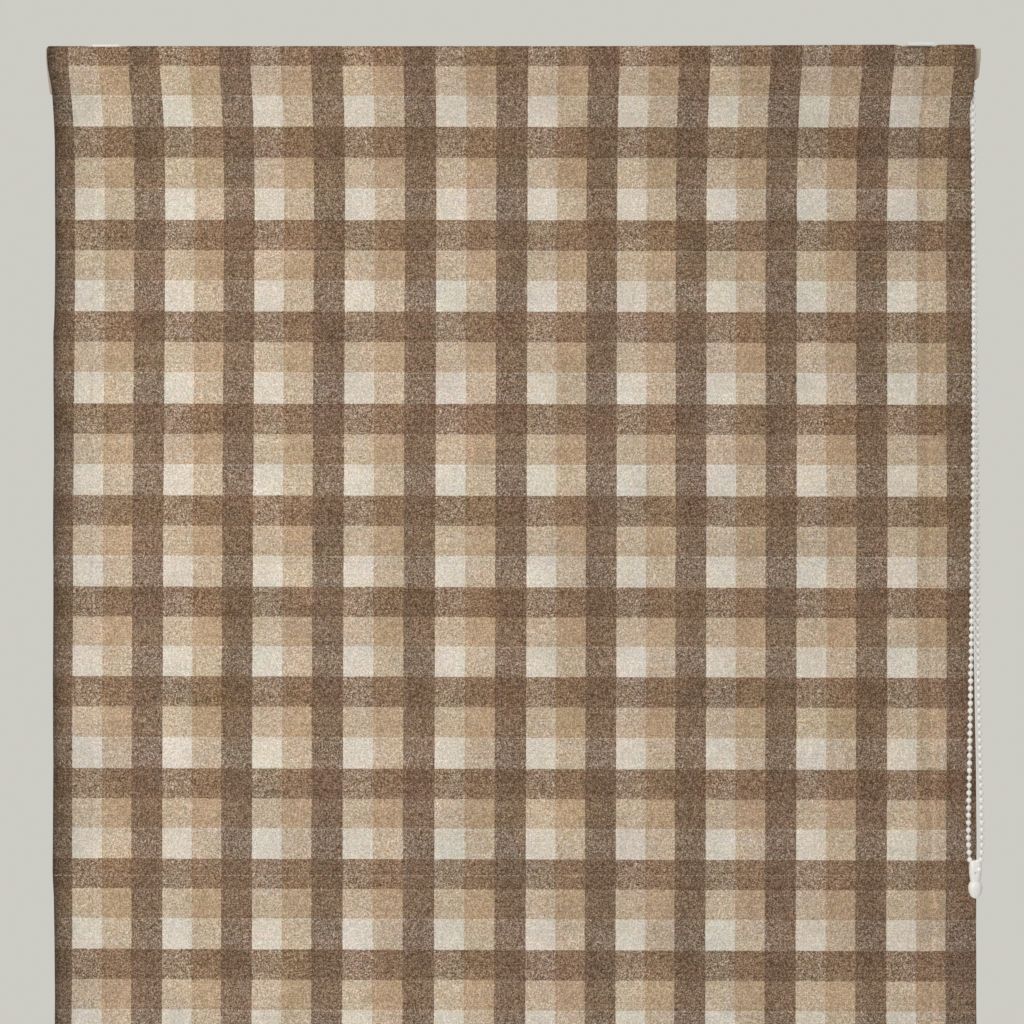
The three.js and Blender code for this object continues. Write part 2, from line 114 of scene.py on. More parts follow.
# The camera stands level in front of the shade, a little above its middle

PICTURE_SIDE = 1024
FOCAL_PIXELS = 2284
SENSOR_WIDTH = 36.0
CAMERA_PLACE = (0, -1.841, -0.3702)

camera_data = bpy.data.cameras.new("camera")
camera_data.sensor_width = SENSOR_WIDTH
camera_data.lens = SENSOR_WIDTH * FOCAL_PIXELS / PICTURE_SIDE
camera = link(bpy.data.objects.new("camera", camera_data))
camera.location = CAMERA_PLACE
camera.rotation_euler = (math.radians(90), 0, 0)
scene.camera = camera


# Meshes

def add_piece(name, points, faces, materials, face_materials=None):
    """Makes a smooth mesh piece that rides on the part's body."""
    mesh = bpy.data.meshes.new(name)
    mesh.from_pydata(np.asarray(points).tolist(), [], faces)
    for material in materials:
        mesh.materials.append(material)
    if face_materials is not None:
        mesh.polygons.foreach_set("material_index", np.asarray(face_materials, np.int32))
    mesh.polygons.foreach_set("use_smooth", np.full(len(mesh.polygons), True))
    mesh.update()
    piece = link(bpy.data.objects.new(name, mesh))
    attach(piece, "root")
    return piece


def tube_faces(rings, sides, first=0, flip=False):
    """Quads between rings of points, and one flat face at each end; flip turns them the other way out."""
    ring = np.arange(rings - 1)[:, None] * sides
    side = np.arange(sides)[None, :]
    following = (side + 1) % sides
    quads = np.stack([ring + side, ring + following, ring + sides + following, ring + sides + side], axis=-1)
    faces = (quads.reshape(-1, 4) + first).tolist()
    last = first + (rings - 1) * sides
    faces.append([first + index for index in reversed(range(sides))])
    faces.append([last + index for index in range(sides)])
    return [face[::-1] for face in faces] if flip else faces


def curve_through(points, step):
    """A centripetal Catmull-Rom curve through the points, sampled about every step."""
    points = np.asarray(points, float)
    padded = np.vstack([2 * points[0] - points[1], points, 2 * points[-1] - points[-2]])
    samples = []
    for p0, p1, p2, p3 in zip(padded, padded[1:], padded[2:], padded[3:]):
        t0 = 0.0
        t1 = t0 + np.linalg.norm(p1 - p0) ** 0.5
        t2 = t1 + np.linalg.norm(p2 - p1) ** 0.5
        t3 = t2 + np.linalg.norm(p3 - p2) ** 0.5
        count = max(2, int(np.linalg.norm(p2 - p1) / step))
        t = np.linspace(t1, t2, count, endpoint=False)[:, None]

        def between(first, last, start, end):
            return (end - t) / (end - start) * first + (t - start) / (end - start) * last

        a1, a2, a3 = between(p0, p1, t0, t1), between(p1, p2, t1, t2), between(p2, p3, t2, t3)
        b1, b2 = between(a1, a2, t0, t2), between(a2, a3, t1, t3)
        samples.append(between(b1, b2, t1, t2))
    return np.vstack(samples + [points[-1:]])


def smooth_step(value, low, high):
    """From 0 at low to 1 at high."""
    share = np.clip((value - low) / (high - low), 0, 1)
    return share * share * (3 - 2 * share)


def hump(value, centre, width):
    """1 at the centre, falling to nothing on both sides."""
    return np.exp(-((value - centre) / width) ** 2)


def arc_lengths(points):
    return np.concatenate([[0], np.cumsum(np.linalg.norm(np.diff(points, axis=0), axis=1))])


def points_along(line, lengths, places):
    return np.stack([np.interp(places, lengths, line[:, axis]) for axis in range(3)], axis=-1)


# Materials

# Fibres of two colours mix in a space compressed by this power
FIBRE_GAMMA = 5.0

# Threads and their floats, in millimetres of flat cloth
THREAD_PITCH = 0.6
FLOAT_LENGTH = 1.15
FLOAT_SHIFT = 7.0
FLOAT_SPREAD = 0.228


class Graph:
    """One procedural material. An input is a number, a colour or another node's output."""

    def __init__(self, name, roughness, **uniform):
        self.material = bpy.data.materials.new(name)
        self.material.use_nodes = True
        self.tree = self.material.node_tree
        self.shader = self.tree.nodes["Principled BSDF"]
        self.shader.inputs["Roughness"].default_value = roughness
        for socket, value in uniform.items():
            self.shader.inputs[socket.replace("_", " ")].default_value = value

    def feed(self, socket, value):
        if isinstance(value, bpy.types.NodeSocket):
            self.tree.links.new(value, socket)
        else:
            socket.default_value = value

    def node(self, kind, inputs, **settings):
        made = self.tree.nodes.new("ShaderNode" + kind)
        for key, value in settings.items():
            setattr(made, key, value)
        for key, value in inputs.items():
            self.feed(made.inputs[key], value)
        return made

    def math(self, operation, *values):
        return self.node("Math", dict(enumerate(values)), operation=operation).outputs[0]

    def vector(self, x, y, z):
        return self.node("CombineXYZ", {0: x, 1: y, 2: z}).outputs[0]

    def noise(self, vector, detail=2.0, roughness=0.5, distortion=0.0, scale=1.0):
        return self.node("TexNoise", {
            "Vector": vector, "Scale": scale, "Detail": detail,
            "Roughness": roughness, "Distortion": distortion,
        })

    def white(self, x, y, z):
        """Fixed random numbers for three whole numbers: one, and three more as a colour."""
        made = self.node("TexWhiteNoise", {"Vector": self.vector(x, y, z)}, noise_dimensions="3D")
        return made.outputs["Value"], made.outputs["Color"]

    def floats(self, thread, along, seed):
        """Three random numbers for each float of each thread. Every thread's floats start elsewhere."""
        start = self.math("MULTIPLY", self.white(thread, seed, 1.0)[0], FLOAT_SHIFT)
        number = self.math("FLOOR", self.math("ADD", self.math("DIVIDE", along, FLOAT_LENGTH), start))
        return self.white(thread, number, seed)[1]

    def about(self, value, gain):
        """A random number from 0 to 1, moved to lie around nought."""
        return self.math("MULTIPLY_ADD", value, gain, -0.5 * gain)

    def centred(self, total):
        """The sum of two random numbers from 0 to 1, moved to lie around nought and stretched."""
        return self.math("MULTIPLY_ADD", total, 1 / FLOAT_SPREAD, -1 / FLOAT_SPREAD)

    def mix(self, factor, first, second):
        return self.node("Mix", {0: factor, 6: first, 7: second}, data_type="RGBA").outputs[2]

    def steps(self, value, entries):
        """A colour and a strength that change at each position, with no blending."""
        made = self.node("ValToRGB", {0: value})
        ramp = made.color_ramp
        ramp.interpolation = "CONSTANT"
        while len(ramp.elements) < len(entries):
            ramp.elements.new(0.5)
        for element, (position, colour, strength) in zip(ramp.elements, entries):
            element.position = position
            element.color = (*colour, strength)
        return made.outputs["Color"], made.outputs["Alpha"]

    def roughness(self, value):
        self.feed(self.shader.inputs["Roughness"], value)

    def place(self, scale):
        """The row frame's coordinates, times scale."""
        coordinates = self.node("TexCoord", {}).outputs["Object"]
        factors = scale if isinstance(scale, tuple) else (scale,) * 3
        return self.node("VectorMath", {0: coordinates, 1: factors}, operation="MULTIPLY").outputs[0]

    def total(self, first, second):
        return self.node("VectorMath", {0: first, 1: second}, operation="ADD").outputs[0]

    def parts(self, vector):
        """A vector's or a colour's three numbers."""
        return tuple(self.node("SeparateXYZ", {0: vector}).outputs)

    def level(self, colour):
        return self.node("RGBToBW", {0: colour}).outputs[0]

    def wave(self, value, pitch):
        """The angle of a pattern that repeats at a pitch."""
        return self.math("MULTIPLY", value, 2 * math.pi / pitch)

    def finished(self, colour, shade, height, depth):
        """The material, with a colour made paler or deeper by a shade, and a bump of a depth in metres."""
        shaded = self.node("VectorMath", {0: colour, "Scale": shade}, operation="SCALE")
        bump = self.node("Bump", {"Height": height, "Distance": depth, "Strength": 1.0})
        self.feed(self.shader.inputs["Base Color"], shaded.outputs[0])
        self.feed(self.shader.inputs["Normal"], bump.outputs[0])
        return self.material


def fibre(colour):
    """A linear colour in the compressed space."""
    return tuple(channel ** (1 / FIBRE_GAMMA) for channel in colour)


# How strongly each yarn covers the other set, next to tan and cream at 1; two light yarns stay below 2.5
DARK_WARP_STRENGTH = 6.2
DARK_WEFT_STRENGTH = 2.4
LIGHT_PAIR = 2.5
STRENGTH_SCALE = 6.5

# The weave: threads, their wander, and the fuller pick that starts each cream row
THREAD_WANDER = 0.9
WANDER_SCALE = 0.11
NAP_SCALE = 0.62
TAN_PULL = 1.08
COVER_SPREAD = 0.15
NAP_COVER = -0.6
PALE_PICK = 0.15
PALE_PICK_PLACE = CREAM_ROW_START + 0.0075
PALE_PICK_REACH = 0.0085

# The yarn's own unevenness
WARP_STREAK = 0.5
WEFT_STREAK = 0.9
DARK_LEVEL = 0.677
HEATHER_DEPTH = 0.0366
HEATHER_FALL = 0.0865
HEATHER_RED = 0.95
HEATHER_BLUE = 1.08
HUE_DEPTH = 0.0008

# Depth of the bump in metres, and how much the nap adds to a thread's crown
CROWN_DEPTH = 0.00010
NAP_DEPTH = 2.0

# Clouds and smears of dye: scale, then depth in all colours, in red and in blue
CLOUD_SCALE, CLOUD_DEPTH, CLOUD_RED, CLOUD_BLUE = 0.022, 0.078, 0.028, 0.034
SMEAR_SCALE, SMEAR_DEPTH, SMEAR_RED, SMEAR_BLUE = 0.13, 0.020, 0.040, 0.050

# Which set of random numbers each thing draws
WARP_FLOAT_SEED, WEFT_FLOAT_SEED, STREAK_SEED = 3.0, 5.0, 9.0
CLOUD_SEED, SMEAR_SEED = 21.0, 44.0


def check_cloth_material():
    """Plain weave of brushed, heathered yarns. Colours mix as fibres, in a compressed space, and the
    dark yarn, warp above all, is the strongest."""
    graph = Graph("check_cloth", 0.92, Specular_IOR_Level=0.18, Sheen_Weight=0.12, Sheen_Roughness=0.45)
    calc = graph.math
    flat = graph.node("UVMap", {}, uv_map="FlatCloth").outputs[0]
    across, down, _ = graph.parts(flat)

    # Threads wander a little, so no two crossings are spaced alike
    wander = graph.noise(flat, detail=3, roughness=0.6, scale=WANDER_SCALE)
    warp_wander, weft_wander, _ = graph.parts(wander.outputs["Color"])
    warp_place = calc("ADD", across, graph.about(warp_wander, THREAD_WANDER))
    weft_place = calc("ADD", down, graph.about(weft_wander, THREAD_WANDER))
    warp_turns = calc("DIVIDE", warp_place, THREAD_PITCH)
    weft_turns = calc("DIVIDE", weft_place, THREAD_PITCH)
    warp_index = calc("FLOOR", warp_turns)
    weft_index = calc("FLOOR", weft_turns)

    # Which stripe each thread belongs to
    warp_repeats = calc("DIVIDE", calc("SUBTRACT", warp_place, FIRST_CREAM_COLUMN), REPEAT_ACROSS)
    weft_repeats = calc("DIVIDE", calc("SUBTRACT", weft_place, FIRST_TAN_ROW), REPEAT_DOWN)
    weft_phase = calc("FRACT", weft_repeats)
    weak = 1 / STRENGTH_SCALE
    warp_colour, warp_strength = graph.steps(calc("FRACT", warp_repeats), [
        (0.0, fibre(CREAM_YARN), weak),
        (TAN_COLUMN_START, fibre(TAN_YARN), weak),
        (DARK_COLUMN_START, fibre(DARK_WARP_YARN), DARK_WARP_STRENGTH * weak),
    ])
    weft_colour, weft_strength = graph.steps(weft_phase, [
        (0.0, fibre(TAN_YARN), weak),
        (CREAM_ROW_START, fibre(CREAM_YARN), weak),
        (DARK_ROW_START, fibre(DARK_WEFT_YARN), DARK_WEFT_STRENGTH * weak),
    ])

    # Each float of each thread has its own tone, its own cover over the other set, and its own hue
    both = graph.total(
        graph.floats(warp_index, down, WARP_FLOAT_SEED),
        graph.floats(weft_index, across, WEFT_FLOAT_SEED),
    )
    tone_grain, cover_grain, hue_grain = graph.parts(both)
    nap = graph.noise(flat, detail=2, roughness=0.65, distortion=0.6, scale=NAP_SCALE).outputs["Fac"]
    streaks = calc(
        "ADD",
        graph.about(graph.white(warp_index, 1.0, STREAK_SEED)[0], WARP_STREAK),
        graph.about(graph.white(1.0, weft_index, STREAK_SEED)[0], WEFT_STREAK),
    )
    tone = calc("ADD", graph.centred(tone_grain), streaks)
    cover = calc("ADD", graph.centred(cover_grain), graph.about(nap, NAP_COVER))

    # How much of the weft shows over the warp: tan leads over cream
    both_strengths = calc("ADD", weft_strength, warp_strength)
    plain_share = calc("DIVIDE", weft_strength, both_strengths)
    both_light = calc("LESS_THAN", both_strengths, LIGHT_PAIR * weak)
    tan_lead = calc("SUBTRACT", graph.level(warp_colour), graph.level(weft_colour))
    tan_lead = calc("MULTIPLY", both_light, tan_lead)
    share = calc("MULTIPLY_ADD", tan_lead, TAN_PULL, plain_share)
    share = calc("MULTIPLY_ADD", cover, COVER_SPREAD, share)
    pick_distance = calc("ABSOLUTE", calc("SUBTRACT", weft_phase, PALE_PICK_PLACE))
    pale_pick = calc("MULTIPLY", calc("LESS_THAN", pick_distance, PALE_PICK_REACH), PALE_PICK)
    share = calc("MINIMUM", calc("MAXIMUM", calc("ADD", share, pale_pick), 0.0), 1.0)
    mixed = graph.mix(share, warp_colour, weft_colour)

    # Heather: paler and darker fibres in each yarn, most in the dark one
    above_dark = calc("SUBTRACT", graph.level(mixed), DARK_LEVEL)
    depth = calc("MULTIPLY_ADD", above_dark, -HEATHER_FALL, HEATHER_DEPTH)
    heather = calc("MULTIPLY", tone, depth)
    tint = calc("MULTIPLY", graph.centred(hue_grain), HUE_DEPTH)
    speckle = graph.vector(
        calc("MULTIPLY_ADD", heather, HEATHER_RED, tint),
        heather,
        calc("SUBTRACT", calc("MULTIPLY", heather, HEATHER_BLUE), tint),
    )

    # Broad, faint unevenness of the dye
    cloud = graph.noise(graph.vector(across, down, CLOUD_SEED), detail=2, scale=CLOUD_SCALE)
    smear = graph.noise(graph.vector(across, down, SMEAR_SEED), detail=3, roughness=0.6, scale=SMEAR_SCALE)
    clouds = graph.parts(cloud.outputs["Color"])
    smears = graph.parts(smear.outputs["Color"])
    common = calc("ADD", graph.about(clouds[1], CLOUD_DEPTH), graph.about(smears[1], SMEAR_DEPTH))
    red_drift = calc("ADD", graph.about(smears[0], SMEAR_RED), graph.about(clouds[0], CLOUD_RED))
    blue_drift = calc("ADD", graph.about(smears[2], SMEAR_BLUE), graph.about(clouds[2], CLOUD_BLUE))
    drift = graph.vector(calc("ADD", common, red_drift), common, calc("ADD", common, blue_drift))
    raised = graph.total(graph.total(mixed, speckle), drift)
    colour = graph.node("Gamma", {0: raised, 1: FIBRE_GAMMA}).outputs[0]
    # Painted shade and highlight, kept on the mesh, darkens or lightens the colour at the hems and edges
    painted_light_attribute = graph.node("Attribute", {}, attribute_name="painted_shade_and_highlight", attribute_type="GEOMETRY")

    # Rounded threads with a fibrous nap
    over = calc("GREATER_THAN", calc("ADD", share, graph.about(cover_grain, 0.2)), 0.5)
    warp_top, weft_top = (
        calc("COSINE", calc("MULTIPLY_ADD", calc("FRACT", turns), math.pi, -math.pi / 2))
        for turns in (warp_turns, weft_turns)
    )
    crown = graph.node("Mix", {0: over, 2: warp_top, 3: weft_top}, data_type="FLOAT").outputs[0]
    height = calc("ADD", crown, calc("MULTIPLY", nap, NAP_DEPTH))
    return graph.finished(colour, painted_light_attribute.outputs["Fac"], height, CROWN_DEPTH)


# Linear colours of the other materials
TAPE_DEEP = (0.66, 0.60, 0.50, 1)
TAPE_PALE = (0.78, 0.73, 0.64, 1)
SEWING_THREAD = (0.70, 0.61, 0.50)
ALUMINIUM = (0.60, 0.60, 0.59)
CHAIN_THREAD = (0.78, 0.75, 0.68)
# Beige plastic, made darker than its own colour as painted shade
BEIGE_PLASTIC_WITH_PAINTED_SHADE = (0.50, 0.42, 0.31)
WHITE_PLASTIC = (0.84, 0.83, 0.79)
IVORY_PLASTIC = (0.93, 0.91, 0.86)
FLOOR_PAINT = (0.80, 0.79, 0.77)


def tape_material():
    """Woven tape: a fine plain weave with uneven threads."""
    graph = Graph("pocket_tape", 0.85, Specular_IOR_Level=0.2, Sheen_Weight=0.08)
    calc = graph.math
    x, _, z = graph.parts(graph.place(1000.0))
    lengthwise = calc("SINE", graph.wave(x, 0.9))
    crosswise = calc("SINE", graph.wave(z, 0.8))
    weave = calc("MULTIPLY", lengthwise, crosswise)
    uneven = graph.noise(graph.place(55.0), detail=3).outputs["Fac"]
    fleck = graph.noise(graph.place(900.0), detail=2).outputs["Fac"]
    mixed = graph.mix(uneven, TAPE_DEEP, TAPE_PALE)
    shade = calc("MULTIPLY_ADD", weave, 0.05, calc("MULTIPLY_ADD", fleck, 0.24, 0.86))
    return graph.finished(mixed, shade, calc("ADD", weave, calc("MULTIPLY", fleck, 1.2)), 0.00008)


def thread_material():
    """Sewing thread with its twist."""
    graph = Graph("sewing_thread", 0.6, Specular_IOR_Level=0.35, Sheen_Weight=0.1)
    calc = graph.math
    x, _, z = graph.parts(graph.place(1000.0))
    twist = calc("SINE", graph.wave(calc("ADD", x, z), 0.35))
    fleck = graph.noise(graph.place(1400.0), detail=2).outputs["Fac"]
    shade = calc("MULTIPLY_ADD", fleck, 0.3, calc("MULTIPLY_ADD", twist, 0.06, 0.82))
    return graph.finished(SEWING_THREAD, shade, twist, 0.00004)


def plastic_material(name, colour, roughness, grain_scale, grain_depth, specular=0.45):
    """Moulded plastic: a fine grain, slight unevenness of colour, and shine that varies with handling."""
    graph = Graph(name, roughness, Specular_IOR_Level=specular)
    calc = graph.math
    broad = graph.noise(graph.place(38.0), detail=4, roughness=0.6).outputs["Fac"]
    grain = graph.noise(graph.place(grain_scale), detail=3, roughness=0.6).outputs["Fac"]
    shade = calc("MULTIPLY_ADD", broad, 0.10, calc("MULTIPLY_ADD", grain, 0.05, 0.925))
    graph.roughness(calc("MULTIPLY_ADD", broad, 0.22, roughness - 0.11))
    return graph.finished(colour, shade, grain, grain_depth)


def rail_material():
    """Extruded aluminium: fine die lines along the rail, and faint cloudiness."""
    graph = Graph("rail_metal", 0.38, Metallic=1.0)
    calc = graph.math
    lines = graph.noise(graph.place((3.0, 2600.0, 2600.0)), detail=3, roughness=0.7).outputs["Fac"]
    clouds = graph.noise(graph.place(24.0), detail=3).outputs["Fac"]
    shade = calc("MULTIPLY_ADD", clouds, 0.12, calc("MULTIPLY_ADD", lines, 0.10, 0.88))
    graph.roughness(calc("MULTIPLY_ADD", lines, 0.20, 0.42))
    return graph.finished(ALUMINIUM, shade, lines, 0.00003)


def braid_material():
    """The chain's thread, braided from fine filaments."""
    graph = Graph("chain_thread", 0.55, Specular_IOR_Level=0.4)
    calc = graph.math
    x, y, z = graph.parts(graph.place(1000.0))
    rise = graph.wave(z, 0.8)
    turn = graph.wave(calc("ADD", x, y), 0.9)
    right_hand = calc("SINE", calc("ADD", rise, turn))
    left_hand = calc("SINE", calc("SUBTRACT", rise, turn))
    braid = calc("MULTIPLY", right_hand, left_hand)
    return graph.finished(CHAIN_THREAD, calc("MULTIPLY_ADD", braid, 0.10, 0.92), braid, 0.00006)


cloth_material = check_cloth_material()
tape = tape_material()
thread = thread_material()
rail = rail_material()
beige = plastic_material("beige_plastic", BEIGE_PLASTIC_WITH_PAINTED_SHADE, 0.42, 2200.0, 0.00003)
white = plastic_material("bracket_plastic", WHITE_PLASTIC, 0.40, 2200.0, 0.00003)
ivory = plastic_material("chain_plastic", IVORY_PLASTIC, 0.26, 900.0, 0.00002, specular=0.5)
braid = braid_material()
floor_material = plastic_material("floor", FLOOR_PAINT, 0.75, 60.0, 0.0002, specular=0.2)


# The ball chain

CONNECTOR_X = 372.8
CONNECTOR_FORWARD = 12.0
CONNECTOR_TOP = -650.6

# Where a bead has its rings, from its middle, and how wide the neck is where it meets the thread
BEAD_RING_OFFSETS = [
    -2.30, -2.10, -1.98, -1.75, -1.45, -1.0, -0.5, 0.0, 0.5, 1.0, 1.45, 1.75, 1.98, 2.10, 2.30,
]
NECK_RADIUS = 0.98

# A strand runs on into the connector, leaning towards its middle
SEATED_LENGTH = 2.6
SEATED_LEAN = 0.2
STRAND_SIDES = 12
TANGENT_REACH = 0.6


def bead_rings(length, first_bead):
    """Places along a strand and its radius there: a bead at each step, and thread between."""
    places = [0.0]
    radii = [CHAIN_THREAD_RADIUS]
    centre = first_bead
    while centre < length + 0.1:
        for offset in BEAD_RING_OFFSETS:
            if centre + offset <= 0.05:
                continue
            radius = CHAIN_THREAD_RADIUS
            if abs(offset) < BEAD_RADIUS:
                radius = max(NECK_RADIUS, math.sqrt(BEAD_RADIUS ** 2 - offset ** 2))
            places.append(centre + offset)
            radii.append(radius)
        centre += BEAD_PITCH
    return np.array(places), np.array(radii)


def make_strand(name, route, node):
    """One strand of beads on its thread."""
    path = curve_through(route, 1.0)
    total = arc_lengths(path)[-1]
    seated_end = path[-1] + ((CONNECTOR_X - path[-1, 0]) * SEATED_LEAN, 0, -SEATED_LENGTH)
    line = np.vstack([path, seated_end])
    lengths = arc_lengths(line)
    first_bead = np.interp(-LEVEL_BEAD, -line[:, 2], lengths) % BEAD_PITCH
    places, radii = bead_rings(total, first_bead)
    inside = places < lengths[-1]
    places, radii = places[inside], radii[inside]
    centres = points_along(line, lengths, places)
    ahead = points_along(line, lengths, places + TANGENT_REACH)
    tangents = ahead - points_along(line, lengths, places - TANGENT_REACH)
    tangents /= np.linalg.norm(tangents, axis=1)[:, None]
    sideways = np.cross(tangents, (0.0, 1.0, 0.0))
    sideways /= np.linalg.norm(sideways, axis=1)[:, None]
    outwards = np.cross(sideways, tangents)
    angles = np.arange(STRAND_SIDES) * 2 * math.pi / STRAND_SIDES
    cosine, sine = np.cos(angles)[None, :, None], np.sin(angles)[None, :, None]
    spokes = cosine * sideways[:, None] + sine * outwards[:, None]
    rings = centres[:, None] + radii[:, None, None] * spokes
    of_thread = radii[:-1] + radii[1:] < 2 * NECK_RADIUS
    face_materials = np.concatenate([np.repeat(of_thread.astype(int), STRAND_SIDES), [1, 0]])
    strand = add_piece(
        name, place(rings.reshape(-1, 3)), tube_faces(len(places), STRAND_SIDES),
        [ivory, braid], face_materials,
    )
    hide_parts(node)


def superellipse(angles, half_width, half_depth, power):
    """Points round an oval that gets squarer with its power."""
    cosine, sine = np.cos(angles), np.sin(angles)
    x = half_width * np.sign(cosine) * np.abs(cosine) ** (2 / power)
    y = half_depth * np.sign(sine) * np.abs(sine) ** (2 / power)
    return x, y


# How far below the top, half the width, half the depth, and how square the section is
CONNECTOR_SECTIONS = [
    (0.0, 3.4, 2.9, 3.2), (0.15, 3.75, 3.15, 3.1), (0.6, 4.15, 3.45, 3.0), (1.6, 4.55, 3.75, 2.9),
    (3.2, 4.9, 4.0, 2.7), (5.0, 5.05, 4.2, 2.6), (8.5, 5.05, 4.2, 2.5), (11.0, 4.9, 4.05, 2.4),
    (13.2, 4.55, 3.85, 2.3), (15.0, 4.2, 3.65, 2.2), (15.9, 4.1, 3.55, 2.15), (16.25, 3.85, 3.3, 2.1),
    (16.75, 3.85, 3.3, 2.1), (17.1, 4.15, 3.6, 2.1), (18.1, 4.85, 4.05, 2.1), (19.6, 5.4, 4.4, 2.1),
    (21.2, 5.67, 4.6, 2.1), (23.0, 5.6, 4.5, 2.1), (25.2, 5.2, 4.2, 2.1), (27.2, 4.5, 3.65, 2.1),
    (28.8, 3.55, 2.85, 2.1), (29.9, 2.4, 1.9, 2.1), (30.5, 1.2, 0.95, 2.0),
]
CONNECTOR_STEP = 0.25
CONNECTOR_SIDES = 72
BODY_END = 14.5

# On its front, as x and how far below the top: the seated last bead, and the catch's hole
SEATED_BEAD = (2.6, 6.9)
SEATED_BEAD_FORWARD = 2.75
CATCH_HOLE = (-0.4, 9.7)
HOLE_DEPTH = 2.0

# Depths of the joint at its sides, the seat round the bead and the seam down its front
SIDE_JOINT = 0.045
SEAT_DEPTH = 0.28
SEAM_DEPTH = 0.22
SEAM_X = -1.1


def make_connector():
    """The joiner that clips round the chain's ends: a body tapered to a waist, and a rounded foot. One end's
    last bead is seated in the body and stands out of its front, beside the small hole of the catch."""
    angles = (np.arange(CONNECTOR_SIDES) + 0.5) * 2 * math.pi / CONNECTOR_SIDES
    sections = np.array(CONNECTOR_SECTIONS)
    steps = np.unique(np.concatenate([sections[:, 0], np.arange(0, sections[-1, 0], CONNECTOR_STEP)]))
    rings = []
    for below in steps:
        section = [np.interp(below, sections[:, 0], sections[:, column]) for column in (1, 2, 3)]
        x, y = superellipse(angles, *section)
        x = x * (1 - SIDE_JOINT * hump(np.sin(angles), 0, 0.10))
        in_body = smooth_step(BODY_END - below, 0, 2.0) * (y > 0)
        bead_reach = np.hypot(x - SEATED_BEAD[0], below - SEATED_BEAD[1])
        hole_reach = np.hypot(x - CATCH_HOLE[0], below - CATCH_HOLE[1])
        bead = np.sqrt(np.maximum(BEAD_RADIUS ** 2 - bead_reach ** 2, 0))
        proud = np.where(y > 0, np.maximum(0, SEATED_BEAD_FORWARD + bead - y) * (bead > 0), 0)
        seat = SEAT_DEPTH * hump(bead_reach, BEAD_RADIUS + 0.25, 0.35) * in_body
        seam = SEAM_DEPTH * in_body * hump(x, SEAM_X, 0.40)
        hole = HOLE_DEPTH * (1 - smooth_step(hole_reach, 0.60, 1.0)) * (y > 0)
        forward = CONNECTOR_FORWARD + y + proud - seat - seam - hole
        z = np.full(CONNECTOR_SIDES, CONNECTOR_TOP - below)
        rings.append(np.stack([CONNECTOR_X + x, forward, z], axis=-1))
    faces = tube_faces(len(rings), CONNECTOR_SIDES, flip=True)
    connector = add_piece("connector", place(np.concatenate(rings)), faces, [ivory])
    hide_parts("chain_connector")
    return connector


connector = make_connector()
make_strand("strand_front", CHAIN_FRONT_ROUTE, "chain_front")
make_strand("strand_back", CHAIN_BACK_ROUTE, "chain_back")


# The cloth's shape, read from its CAD solid

# The face is read over the cloth's middle, and the solid's rounded ends are passed over
MIDDLE_REACH = 300
SAME_HEIGHT = 0.02
END_MARGIN = 2.9


def read_cloth():
    """Heights, and at each the cloth's left edge, right edge and how far forward its face is."""
    mesh = nodes["cloth"].data
    points = np.zeros(len(mesh.vertices) * 3)
    mesh.vertices.foreach_get("co", points)
    points = points.reshape(-1, 3) / MM
    heights = np.unique(np.round(points[:, 2], 2))[::-1]
    rows = []
    for height in heights:
        row = points[np.abs(points[:, 2] - height) < SAME_HEIGHT]
        middle = row[np.abs(row[:, 0]) < MIDDLE_REACH]
        rows.append((height, row[:, 0].min(), row[:, 0].max(), HANG_PLANE - middle[:, 1].min()))
    return np.array(rows)


cloth_rows = read_cloth()
FINE = -np.arange(0, DROP + 1, 1.0)


def smoothed(column, spread):
    """One column of the outline at every millimetre of height, its corners softened."""
    rows = cloth_rows[(cloth_rows[:, 0] < -END_MARGIN) & (cloth_rows[:, 0] > -DROP + END_MARGIN)]
    values = np.interp(-FINE, -rows[:, 0], rows[:, column])
    reach = int(spread * 3)
    kernel = np.exp(-(np.arange(-reach, reach + 1) / spread) ** 2 / 2)
    padded = np.pad(values, reach, mode="edge")
    return np.convolve(padded, kernel / kernel.sum(), mode="valid")


edge_left = smoothed(1, 3.0)
edge_right = smoothed(2, 3.0)
face_forward = smoothed(3, 2.6)
fine_slope = np.gradient(face_forward, FINE)
fine_arc = np.concatenate([[0], np.cumsum(np.hypot(1, (fine_slope[1:] + fine_slope[:-1]) / 2))]) - CLOTH_TOP


def at_height(table, z):
    return np.interp(-z, -FINE, table)


CORNER = 2.6
BOTTOM_CORNER_SHARE = 0.5


def edges_at(z):
    """The side edges at a height, with the corners rounded."""
    def rounding(rest):
        rest = np.clip(rest, 0, CORNER)
        return CORNER - np.sqrt(np.maximum(CORNER ** 2 - (CORNER - rest) ** 2, 0))

    inset = rounding(-z - CLOTH_TOP) + BOTTOM_CORNER_SHARE * rounding(z + DROP)
    return at_height(edge_left, z) + inset, at_height(edge_right, z) - inset


def waves(x, z, seed, count, shortest, longest):
    """Seeded smooth unevenness, from -1 to 1 or so."""
    source = np.random.default_rng(seed)
    total = np.zeros(np.broadcast(x, z).shape)
    for _ in range(count):
        length = source.uniform(shortest, longest)
        heading = source.uniform(0, math.pi)
        phase = source.uniform(0, 2 * math.pi)
        along = x * math.cos(heading) + z * math.sin(heading)
        total += np.sin(2 * math.pi * along / length + phase)
    return total / math.sqrt(count)


# How far the face swells, dips and rolls, in millimetres
WAVE_DEPTH = 0.42
DIMPLE_DEPTH = 0.10
STITCH_TROUGH = 0.22
PUCKER_DEPTH = 0.16
ROD_SWELL = 0.30
HEM_GROOVE = 0.30
HEM_RIDGE = 0.12
HEM_RIPPLE = 0.22
LEFT_ROLL = 2.2
RIGHT_ROLL = 1.2
ROLL_REACH = 6.5
ROD_BELOW_STITCHES = 12.5


